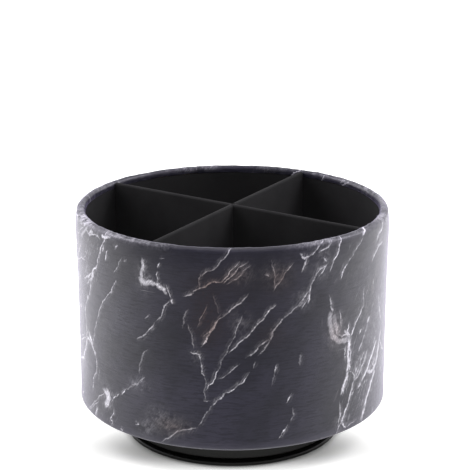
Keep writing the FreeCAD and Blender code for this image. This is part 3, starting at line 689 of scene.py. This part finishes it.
def wrap_section():
    """(radius, height) points of the visible side, then of the hidden side, as two arrays."""
    edge_centre = (OUTER_R - EDGE_ROUND, BOTTOM_Z + EDGE_ROUND)
    roll_centre = (OUTER_R - ROLL, RIM_Z - ROLL)
    under, inside = OUTER_R - TURN_UNDER, RIM_Z - TURN_IN
    inner_r = OUTER_R - 2 * ROLL
    visible = np.concatenate([
        line_between((under, BOTTOM_Z), (edge_centre[0], BOTTOM_Z), 9),
        arc_about(edge_centre, EDGE_ROUND, -90.0, 0.0, 6),
        line_between((OUTER_R, edge_centre[1]), (OUTER_R, roll_centre[1]), 92),
        arc_about(roll_centre, ROLL, 0.0, 180.0, 14),
        line_between((inner_r, roll_centre[1]), (inner_r, inside), 5),
        [(inner_r, inside)],
    ])
    hidden = np.concatenate([
        [(inner_r + THICK, inside)],
        arc_about(roll_centre, ROLL - THICK, 180.0, 0.0, 6),
        line_between((OUTER_R - THICK, roll_centre[1]), (OUTER_R - THICK, edge_centre[1]), 4),
        arc_about(edge_centre, EDGE_ROUND - THICK, 0.0, -90.0, 3),
        line_between((edge_centre[0], BOTTOM_Z + THICK), (under, BOTTOM_Z + THICK), 2),
        [(under, BOTTOM_Z + THICK)],
    ])
    return visible, hidden


visible, hidden = wrap_section()
section = np.concatenate([visible, hidden])
steps = np.linalg.norm(np.diff(visible, axis=0), axis=1)
sheet_up = np.concatenate([[0.0], np.cumsum(steps)])
wall_row = int(np.argmax(visible[:, 0] > OUTER_R - 1e-6))
sheet_up += visible[wall_row, 1] - sheet_up[wall_row]
print(f"section of {len(section)} points, {steps.sum():.1f} mm of leather from edge to edge")

# %% Columns round the drum
COLUMNS = 500
BEFORE_SEAM = np.array([0.35, 0.15, 0.03, 0.0])  # degrees: closer columns for the strip's cut end
turns = np.concatenate([
    np.linspace(SEAM_ANGLE - 360.0, SEAM_ANGLE - 0.6, COLUMNS - 3),
    SEAM_ANGLE - BEFORE_SEAM,
])
sheet_along = OUTER_R * np.radians(turns + 90.0 - FRONT)
print(f"strip from {sheet_along[0]:.1f} to {sheet_along[-1]:.1f} mm")

# %% [markdown]
# ## Gathers and unevenness
# Wrapped leather never lies quite flat. Each effect is a height of less than a millimetre off the plain
# section, and they are added up: small waves over the rim, pleats where it is tucked under the board,
# slack and long swells on the wall, and a soft shoulder below the rim, where the turned-in thickness
# pushes it out. At the back the strip's upper end climbs on to its lower end and stops in a clean cut.

# %% Waves, bells and ramps


def ripple(angle, counts, seed):
    """A wavy value round the drum: cosines of several whole counts with random phases, about -1 to 1."""
    phases = np.random.default_rng(seed).uniform(0.0, 2 * math.pi, len(counts))
    waves = np.cos(np.asarray(counts) * np.radians(angle)[:, None] + phases)
    return waves.sum(axis=1) / math.sqrt(len(counts))


def section_normals(points):
    """Outward normals of a closed section, from the points before and after each."""
    tangent = np.roll(points, -1, axis=0) - np.roll(points, 1, axis=0)
    normal = np.stack([tangent[:, 1], -tangent[:, 0]], axis=1)
    return normal / np.linalg.norm(normal, axis=1, keepdims=True)


def bell(value, centre, width):
    """1 at the centre, falling smoothly to nothing over about two widths."""
    return np.exp(-((value - centre) / width) ** 2)


def ramp(value, start, length):
    """0 until start, then evenly up to 1 over that length. With a negative length it runs downwards."""
    return np.clip((value - start) / length, 0.0, 1.0)


def smooth(share):
    """3 share^2 - 2 share^3: from 0 to 1 with level ends."""
    return share * share * (3 - 2 * share)


print("a smooth rise is at", smooth(ramp(2.5, 0.0, 10.0)), "after a quarter of its length")

# %% The lift of the leather off its plain section, in mm
GATHER, CREST = 0.10, 0.10  # over the rim, and on the top of the roll
TUCK, SLACK, SWELL = 0.16, 0.06, 0.02  # under the board, and on the wall
SHOULDER, SHOULDER_FROM, SHOULDER_RUN = 0.75, 60.0, 58.0
DIP = 0.30  # on the outside of the roll
CLIMB = 3.0  # run of the strip's upper end on to the lower one
COUNT_IN = len(visible)
up = sheet_up
roll_start = RIM_Z - ROLL
gathered = ramp(up, roll_start + 2.0, 5.0)
tucked = ramp(up, BOTTOM_Z + EDGE_ROUND - 3.0, -4.0)
fine = ripple(turns, [61, 74, 83, 97, 58, 110], 3)
broad = ripple(turns, [5, 9, 14, 23, 31], 4)
pleats = ripple(turns, [44, 57, 69, 86, 101, 38], 5)
slack = ripple(turns, [3, 7, 12, 19], 6)
lift = np.zeros((COUNT_IN, len(turns)))
lift += gathered[:, None] * (GATHER * fine + GATHER * broad)
lift += bell(up, RIM_Z + 0.5, 2.6)[:, None] * CREST * ripple(turns, [11, 17, 26, 37, 52], 7)
lift += tucked[:, None] * np.maximum(pleats, -0.2) * TUCK
lift += np.sin(math.pi * ramp(up, 20.0, 100.0))[:, None] * SLACK * slack
for wave_height, tilt, seed in ((31.0, 0.6, 11), (19.0, -0.9, 12), (12.0, 1.3, 13)):
    waves = np.cos(2 * math.pi * up / wave_height + tilt)
    lift += SWELL * waves[:, None] * ripple(turns, [8, 13, 21], seed)
rise = ramp(up, SHOULDER_FROM, SHOULDER_RUN) ** 2
fall = smooth(ramp(up, RIM_Z + 1.5, -12.0))
lift += (rise * fall * SHOULDER - bell(up, RIM_Z - 0.2, 1.8) * DIP)[:, None]
print(f"the leather stands {lift.min():.2f} to {lift.max():.2f} mm off the plain section")

# %% The overlap at the back
from_end = (SEAM_ANGLE - turns) / 360.0 * 2 * math.pi * OUTER_R
over_lap = smooth(ramp(from_end, LAP + CLIMB, -CLIMB))
over_lap[-1] = 0.0
inner_fade = np.maximum(ramp(up, roll_start + 5.0, -4.0), 0.35)
lift += inner_fade[:, None] * LAP_RISE * over_lap
print(f"with the overlap, up to {lift.max():.2f} mm")

# %% [markdown]
# ## A mesh from a grid
# One helper turns a grid of points into a closed mesh. Rows and columns both join end to start. Values
# that belong to the flat sheet, such as the vein distances, differ on the two sides of the seam, so
# they are kept on the faces' corners instead of the shared vertices.

# %% Grid mesh


def closed_grid(name, points, corner_values, body, material):
    """A mesh from (rows, columns + 1, 3) points in mm: its last column repeats the first one's place.

    corner_values maps names to (rows, columns + 1, 3) arrays, kept on the face corners.
    """
    rows, wide = points.shape[:2]
    columns = wide - 1
    row = np.arange(rows)[:, None]
    column = np.arange(columns)[None, :]
    next_row = (row + 1) % rows

    def corners(width, wrap):
        """Each face's four corners as numbers in a grid this wide: here, beside, and both a row on."""
        beside = (column + 1) % columns if wrap else column + 1
        return np.stack([row * width + column, row * width + beside,
                         next_row * width + beside, next_row * width + column], axis=-1).reshape(-1, 4)

    faces = corners(columns, True)
    mesh = bpy.data.meshes.new(name)
    mesh.from_pydata(points[:, :columns].reshape(-1, 3) * MM, [], faces)
    picks = corners(wide, False).ravel()
    for value_name, values in corner_values.items():
        attribute = mesh.attributes.new(value_name, "FLOAT_VECTOR", "CORNER")
        attribute.data.foreach_set("vector", values.reshape(-1, 3)[picks].astype(np.float32).ravel())
    mesh.polygons.foreach_set("use_smooth", np.ones(len(faces), bool))
    mesh.materials.append(material)
    made = add_object(name, mesh)
    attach(made, body)
    corner = points[:, :columns].reshape(-1, 3)[faces]
    volume = sum((corner[:, 0] * np.cross(corner[:, k], corner[:, k + 1])).sum() for k in (1, 2)) / 6
    print(f"{name}: {len(faces)} faces, volume {volume:.0f} mm3")
    return made


# %% [markdown]
# ## Marbling on the wrap
# Every point of the wrap now looks up its nearest vein in each layer. Three soft fields join them, each
# a sum of bell curves: pale clouds, with pale patches along the rim that are partly marbling and partly
# painted highlight, the warm brown stain round some veins, and the streaky parts, where fine needles lie
# along the marble's grain.

# %% Vein distances


def vein_field(layer, along, up):
    """(signed distance, half width, brightness) of the nearest vein of one layer, for a grid in mm."""
    field = np.zeros((len(up), len(along), 3), np.float32)
    field[..., 0] = REACH
    field[..., 1] = 0.3
    nearest = np.full((len(up), len(along)), FAR)
    for line, normal, width, bright in layer:
        least, most = line.min(axis=0) - REACH - 2.0, line.max(axis=0) + REACH + 2.0
        rows = np.flatnonzero((up > least[1]) & (up < most[1]))
        columns = np.flatnonzero((along > least[0]) & (along < most[0]))
        if not len(rows) or not len(columns):
            continue
        window = np.ix_(rows, columns)
        spots = np.stack(np.meshgrid(along[columns], up[rows]), axis=-1)
        offset = spots[:, :, None, :] - line
        distance = np.sqrt((offset ** 2).sum(axis=-1))
        best = distance.argmin(axis=-1)
        apart = np.take_along_axis(distance, best[..., None], -1)[..., 0]
        picked = np.take_along_axis(offset, best[..., None, None].repeat(2, -1), -2)[..., 0, :]
        signed = (picked * normal[best]).sum(axis=-1)
        fade = np.clip((width[best] + REACH - apart) / 1.2, 0.0, 1.0)
        values = np.stack([signed, width[best], bright[best] * fade], axis=-1)
        closer = apart < nearest[window]
        nearest[window] = np.where(closer, apart, nearest[window])
        field[window] = np.where(closer[..., None], values, field[window])
    return field


def bare_behind(field):
    """The field of the visible side with zeros for the hidden side's rows."""
    return np.concatenate([field, np.zeros((len(hidden),) + field.shape[1:])])


corner_values = {}
for index, layer in enumerate(layers):
    corner_values[f"vein_{index}"] = bare_behind(vein_field(layer, sheet_along, sheet_up))
print("layers on the grid:", len(corner_values))

# %% Clouds and stains: along, up, width, height, strength
PALE_CLOUDS = planned_spots([
    (-46, 108, 4, 7, 0.5), (-76, 33, 6, 8, 0.45), (-33, 29, 9, 5, 0.5), (-47, 25, 4, 4, 0.5),
    (-40, 34, 6, 5, 0.25), (-52, 48, 7, 4, 0.3), (57, 76, 6, 8, 0.5), (66, 62, 4, 12, 0.3),
    (77, 52, 6, 7, 0.45), (92, 50, 6, 6, 0.4), (37, 97, 5, 5, 0.4), (46, 111, 5, 5, 0.3),
    (62, 24, 5, 4, 0.4), (82, 24, 4, 6, 0.3), (-92, 97, 6, 5, 0.4), (-95, 60, 7, 4, 0.35),
    (22, 112, 6, 6, 0.3), (4, 114, 5, 5, 0.35), (4, 88, 5, 6, 0.25), (-108, 45, 8, 4, 0.35),
    (48, 118, 5, 4, 0.3), (95, 117, 8, 5, 0.35), (100, 76, 7, 9, 0.25), (-18, 69, 4, 4, 0.2),
]) + [(88, 58, 9, 17, 0.25)]
STREAKS = [
    (95, 56, 18, 34, 0.90), (80, 56, 10, 28, 0.55), (-92, 116, 16, 13, 0.95), (-107, 62, 12, 26, 0.45),
    (-113, 100, 10, 18, 0.55), (62, 119, 14, 9, 0.30), (72, 40, 11, 15, 0.45), (-82, 30, 12, 9, 0.35),
]
WARM_STAINS = planned_spots([
    (-10, 109, 11, 6, 0.9), (-12, 84, 8, 10, 0.9), (-13, 96, 6, 9, 0.7), (24, 111, 8, 7, 0.8),
    (20, 80, 8, 8, 0.6), (57, 75, 6, 8, 0.6), (-32, 29, 10, 5, 0.8), (3, 114, 7, 6, 0.6),
]) + [(-8, 102, 24, 18, 0.40), (22, 112, 14, 12, 0.30)]


def soft_field(spots):
    """A sum of bell curves (along, up, width, height, strength) on the sheet's grid."""
    total = np.zeros((len(sheet_up), len(sheet_along)))
    for x, z, wide, tall, strength in spots:
        total += strength * bell(sheet_along, x, wide)[None, :] * bell(sheet_up, z, tall)[:, None]
    return total


def random_spots(count, wide, tall, strength):
    """Spots on the parts of the strip that aren't laid out one by one."""
    return [(x, rng.uniform(10.0, 125.0), wide * rng.uniform(0.6, 1.5), tall * rng.uniform(0.6, 1.5),
             strength * rng.uniform(0.5, 1.2)) for x in bare_places(count)]


pale = soft_field(PALE_CLOUDS + random_spots(30, 6, 7, 0.4))
warm = soft_field(WARM_STAINS + random_spots(12, 8, 8, 0.8))
streaky = soft_field(STREAKS + random_spots(9, 12, 20, 0.3))
RIM_MIDDLE, RIM_PATCHES = 131.0, 24
# pale patches on the rim: partly marbling, partly painted highlight
rim_marbling_and_highlights = [(x, RIM_MIDDLE, rng.uniform(4.0, 12.0), 2.6, rng.uniform(0.35, 0.95))
               for x in rng.uniform(sheet_along[0], sheet_along[-1], RIM_PATCHES)]
rim_marbling_and_highlights += [(-112, 131.5, 12, 3.5, 0.8), (-92, 130.5, 7, 2.5, 0.7), (112, 131.5, 14, 3.0, 0.8)]
pale += soft_field(rim_marbling_and_highlights)
corner_values["veil"] = bare_behind(np.stack([pale, warm, np.clip(streaky, 0.0, 1.0)], axis=-1))
sheet = np.zeros((len(section), len(turns), 3))
sheet[..., 0] = sheet_along[None, :]
sheet[:COUNT_IN, :, 1] = sheet_up[:, None]
sheet[COUNT_IN:, :, 1] = np.linspace(sheet_up[-1] + THICK, sheet_up[0] - THICK, len(hidden))[:, None]
corner_values["sheet"] = sheet
print(f"pale cover up to {pale.max():.2f}, warm up to {warm.max():.2f}")

# %% [markdown]
# ## Marbled faux leather
# The film on the leather is printed. First comes the ground: violet charcoal that drifts slowly, with
# brown stains. Over it lie painted shade in the creases, which are drawn out sideways, painted shade
# toward the rim and a painted highlight round the bottom edge. Then the white: veins, clouds and
# needles. Noise is added to a vein's distance before its line is drawn, so veins fray at a scale far
# below the mesh. They are beaded along their run, and a wide vein is torn into wisps and smeared to one
# side. Over the print lie a fine grain, a coat that shows only at a glancing look, less in the creases,
# and a soft violet sheen.

# %% Colours of the print, and of painted shade and highlight
DARK_GROUND, PALE_GROUND = colour(0.0080, 0.0082, 0.0125), colour(0.0265, 0.0255, 0.0390)
# painted shade: the first colour darkens the creases, the second the upper wall toward the rim
PAINTED_CREASE_SHADE, PAINTED_SHADE_TOWARD_RIM = colour(0.0030, 0.0032, 0.0045), colour(0.0040, 0.0040, 0.0065)
STAIN, STAIN_STREAK = colour(0.0095, 0.0075, 0.0080), colour(0.0260, 0.0125, 0.0120)
# painted highlight, paler round the bottom edge
PAINTED_EDGE_HIGHLIGHT = colour(0.0620, 0.0600, 0.0800)
VEIN, WARM_VEIN = colour(0.88, 0.87, 0.92), colour(0.50, 0.38, 0.34)
ACROSS = 90.0 - GRAIN  # degrees that set the marble's grain upright

# %% The ground: print, painted shade and a painted highlight


def ground_print_and_painted_light(w, where, warm, streaks, creases):
    """The ground: each line blends one more colour over the last, by its own mask.
    The crease, rim and bottom-edge lines paint shade and a highlight.
    """
    drift = w.mapped(where, scale=(1.0, 0.60, 1.0), turn=ACROSS)
    drift = w.noise(drift, 0.035, detail=5.0, roughness=0.55)
    up = w.node("ShaderNodeSeparateXYZ", {0: where}, output=1)
    ground = w.blend(DARK_GROUND, PALE_GROUND, drift.step(0.32, 0.68))
    # painted shade in the creases
    ground = w.blend(ground, PAINTED_CREASE_SHADE, creases.step(0.45, 0.64) * 0.55)
    ground = w.blend(ground, STAIN, warm.step(0.0, 1.0) * 0.60)
    ground = w.blend(ground, STAIN_STREAK, warm * streaks.step(0.42, 0.68) * 0.50)
    # painted shade: darker from 75 mm up toward the rim
    ground = w.blend(ground, PAINTED_SHADE_TOWARD_RIM, up.step(75.0, 132.0) * 0.50)
    # painted highlight: paler in the lowest few mm, round the bottom edge
    return w.blend(ground, PAINTED_EDGE_HIGHLIGHT, up.step(27.0, 21.5) * 0.55)


# %% The printed veins


def printed_veins(w, where, wispy):
    """How white the veins are, the whitest layer at each point: brightness * (line * wisps + haze)."""
    fray = w.noise(where, 0.70, detail=5.0, roughness=0.70) - 0.5
    beads = w.noise(w.mapped(where, shift=(40.0, 10.0, 3.0)), 0.50, detail=4.0, roughness=0.68)
    runs = w.noise(w.mapped(where, shift=(9.0, 71.0, 5.0)), 0.13, detail=2.0)
    beaded = (beads.step(0.40, 0.57) * 0.75 + 0.25) * (runs.step(0.36, 0.56) * 0.40 + 0.60)
    lines = None
    for index in range(LAYERS):
        signed, width, bright = w.attribute(f"vein_{index}")
        away = abs(signed + fray * (1.25 + width.step(0.2, 0.8) * 1.1))
        core = away.step(width * 0.85 + 0.04, width * 0.25)
        broad = width.step(0.65, 1.1)
        inside = 1 - broad * (1 - wispy) * 0.50
        one_side = (signed + fray * 2.0).step(-0.5, 0.6)
        haze = away.step(width * 2.0 + 1.8, 0.0) * wispy * one_side * 0.30
        line = bright * (core * beaded.larger(broad * 0.92) * inside * 1.15 + haze)
        lines = line if lines is None else lines.larger(line)
    return lines


# %% Material: marbled leather


def marbled(w):
    """The print, its grain and its coat, from the places and fields that the mesh keeps."""
    where = w.node("ShaderNodeAttribute", output=1, attribute_name="sheet")
    pale, warm, streaky = w.attribute("veil")
    streaks = w.mapped(where, scale=(1.6, 0.35, 1.0), turn=ACROSS)
    streaks = w.noise(streaks, 1.0, detail=5.0, roughness=0.68)
    puffs = w.noise(w.mapped(where, shift=(3.0, 25.0, 8.0)), 0.30, detail=5.0, roughness=0.62)
    creases = w.noise(w.mapped(where, scale=(0.14, 1.05, 1.0)), 1.0, detail=4.0, roughness=0.64,
                      distortion=0.6)
    wispy = streaks.step(0.40, 0.66)
    along_grain = w.mapped(where, scale=(0.62, 0.085, 1.0), turn=ACROSS - 4.0, shift=(7.0, 3.0, 1.0))
    needles = w.noise(along_grain, 1.0, detail=4.0, roughness=0.66, distortion=1.1)
    needles = needles.step(0.54, 0.74) * streaky * (puffs.step(0.40, 0.58) * 0.85 + 0.15)
    # the pale field holds the clouds and, on the rim, painted highlights
    clouds = pale * (wispy * 0.75 + 0.25) * puffs.step(0.34, 0.62) * 0.50
    white = (printed_veins(w, where, wispy) + clouds).larger(needles * 0.75 + clouds)
    vein = w.blend(VEIN, WARM_VEIN, warm * 0.75)

    grain = w.noise(where, 1.3, detail=4.0, roughness=0.65)
    facing = w.node("ShaderNodeLayerWeight", {"Blend": 0.5}, output="Facing")
    return {
        "Base Color": w.blend(ground_print_and_painted_light(w, where, warm, streaks, creases), vein, white),
        "Coat Weight": facing.step(0.0, 0.42) * (0.62 - creases.step(0.40, 0.66) * 0.16),
        "Roughness": 0.34 + creases * 0.12 + grain * 0.06,
        "Normal": w.bump(grain * 0.30 + creases * 0.70, 0.00045, strength=0.8),
    }


marble_leather = new_material("marble_leather", marbled, Specular_IOR_Level=0.18,
                              Specular_Tint=colour(0.86, 0.83, 1.0),
                              Coat_Roughness=0.24, Coat_IOR=1.5,
                              Sheen_Weight=0.50, Sheen_Roughness=0.30, Sheen_Tint=colour(0.74, 0.67, 1.0))


# %% The wrap itself
EDGE_ROWS = 6  # that wander up and down with the cut edge
normals = section_normals(section)
full_lift = np.zeros((len(section), len(turns)))
full_lift[:COUNT_IN] = lift
radius, height = [section[:, [axis]] + normals[:, [axis]] * full_lift for axis in range(2)]
edge_wander = 0.20 * broad + 0.10 * fine
near_cut = np.zeros(len(section))
near_cut[COUNT_IN - EDGE_ROWS:COUNT_IN] = np.linspace(0.0, 1.0, EDGE_ROWS)
near_cut[COUNT_IN] = 1.0
height += near_cut[:, None] * edge_wander
turn = np.radians(turns)
points = np.stack([radius * np.cos(turn), radius * np.sin(turn), height], axis=-1)
wrap = closed_grid("leather_wrap", points, corner_values, "drum", marble_leather)
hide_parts("outer_cover")

# %% [markdown]
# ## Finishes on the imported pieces
# The other pieces already have their true shape, so they keep it and only get their material.

# %% Materials by slot
by_slot = {"marble_leather": marble_leather, "black_lining": black_lining, "fibreboard": fibreboard,
           "black_plastic": black_plastic, "zinc_steel": zinc_steel, "ball_steel": ball_steel,
           "nylon": nylon, "rubber": rubber}
for subpart in frame["record"]["subparts"]:
    piece = frame["nodes"][subpart["node"]]
    piece.data.materials.clear()
    piece.data.materials.append(by_slot[subpart["material_slot"]])

# %% [markdown]
# ## Floor, backdrop and lights
# A product studio is a white floor and soft light from large boxes. The floor and the backdrop show
# white where they are looked at straight, mirrored or through glass, and give the object little light.
# White everywhere would drown the shadow, so the floor glows least in a ring at the base and little in
# two flat ovals, one before the base and one behind it, where the lamps' own shadow shows. The ring and
# the ovals paint the shadow's shape; the shade inside them is the lamps' own.

# %% Floor, in metres
HALF_FLOOR = 3.0
CONTACT = (0.0566, 0.0640)  # the ring's dark and bright edges, from the axis
SHADOW_AHEAD = 0.039  # from the axis to each oval's middle
SHADOW_SQUEEZE, INNER_SQUEEZE = 5.0, 4.0  # how flat an oval is on its far and its near side
GLOW = (0.041, 0.155)  # half its width where the glow starts and ends to rise
LEAST_GLOW, GLOW_RISE = 0.19, 0.66
FAR_GLOW, FAR_RISE = (0.15, 0.40), 0.3  # a last slow rise to full white
floor_mesh = bpy.data.meshes.new("floor")
corners = [(x * HALF_FLOOR, y * HALF_FLOOR, 0) for x, y in ((-1, -1), (1, -1), (1, 1), (-1, 1))]
floor_mesh.from_pydata(corners, [], [(0, 1, 2, 3)])
floor = add_object("floor", floor_mesh)
print(f"floor {2 * HALF_FLOOR:.0f} m wide")


def shown(w):
    """1 for rays that look straight at the floor or backdrop, or see it mirrored or through glass."""
    straight, mirrored, through = [w.node("ShaderNodeLightPath", output=f"Is {ray} Ray")
                                   for ray in ("Camera", "Glossy", "Transmission")]
    return straight.larger(mirrored).larger(through)


def pale_floor(w):
    """White paint plus a glow: (least + rise * oval) * ring + the far rise, for the rays that look."""
    turned = w.mapped(w.place(), turn=-FRONT)
    beside, depth = [w.node("ShaderNodeSeparateXYZ", {0: turned}, output=axis) for axis in range(2)]
    past = abs(depth) - SHADOW_AHEAD
    ahead = (past * SHADOW_SQUEEZE).larger(past * -INNER_SQUEEZE)
    oval = w.node("ShaderNodeCombineXYZ", {0: beside, 1: ahead})
    reach = oval.length()
    # painted shadow: the glow is lowered in the ring at the base and in the two ovals
    glow = (reach.step(*GLOW) * GLOW_RISE + LEAST_GLOW) * w.place().length().step(*CONTACT)
    glow += reach.step(*FAR_GLOW) * FAR_RISE
    glow = w.blend(colour(0.0, 0.0, 0.0), colour(1.0, 1.0, 1.0), glow * shown(w))
    return {"Base Color": colour(0.785, 0.81, 0.73), "Roughness": 0.9, "Emission Color": glow}


floor_mesh.materials.append(new_material("pale_floor", pale_floor, Specular_IOR_Level=0.0,
                                         Emission_Strength=1.0))


# %% Backdrop
BACKDROP_LIGHT = 0.12  # what it lights the object with, where white is 1
world = bpy.data.worlds.new("studio")
bpy.context.scene.world = world
world.use_nodes = True
sky = Wire(world.node_tree)
strength = BACKDROP_LIGHT + shown(sky) * (1.0 - BACKDROP_LIGHT)
background = world.node_tree.nodes["Background"]
background.inputs["Color"].default_value = colour(1.0, 1.0, 1.0)
world.node_tree.links.new(strength.socket, background.inputs["Strength"])
print("backdrop lights the object with", BACKDROP_LIGHT)

# %% [markdown]
# ## Soft boxes
# Two wide boxes stand beside the organizer, so its sides catch long soft reflections and its front
# stays dark. A smaller box above each lights the rim, one high in front brings out the veins there, and
# a weak one overhead reaches the compartments. The light is slightly violet, as the leather is, so the
# floor's paint is tinted the other way.

# %% Soft boxes
LAMP_TINT = (0.935, 0.90, 1.0)
LAMPS_AIM = Vector((0.0, 0.0, 0.06))  # the drum's middle


def soft_box(name, azimuth, away, height, wide, tall, watts):
    """A rectangular light, in metres: azimuth degrees from the front, facing the drum's middle."""
    data = bpy.data.lights.new(name, "AREA")
    data.shape = "RECTANGLE"
    data.size, data.size_y = wide, tall
    data.energy = watts
    data.color = LAMP_TINT
    lamp = add_object(name, data)
    lamp.location = around(azimuth, away, height)
    lamp.visible_camera = False
    lamp.rotation_euler = (LAMPS_AIM - lamp.location).to_track_quat("-Z", "Y").to_euler()
    print(f"{name}: {watts} W from {wide} x {tall} m")


soft_box("left_box", -102.0, 0.95, 0.50, 1.50, 1.00, 7.0)
soft_box("left_rim_box", -106.0, 0.85, 0.88, 0.48, 0.62, 6.0)
soft_box("right_box", 98.0, 0.95, 0.50, 1.50, 1.00, 6.5)
soft_box("right_rim_box", 98.0, 0.82, 0.92, 0.60, 0.62, 6.6)
soft_box("key_box", 8.0, 0.90, 1.10, 0.70, 0.70, 7.0)
soft_box("top_box", 0.0, 0.05, 1.25, 0.50, 0.50, 2.0)

# %% [markdown]
# ## Finish
# The view transform is plain, so colours come out as written. The leather may stand only a little proud
# of the imported model.

# %% View transform
bpy.context.scene.view_settings.view_transform = "Standard"
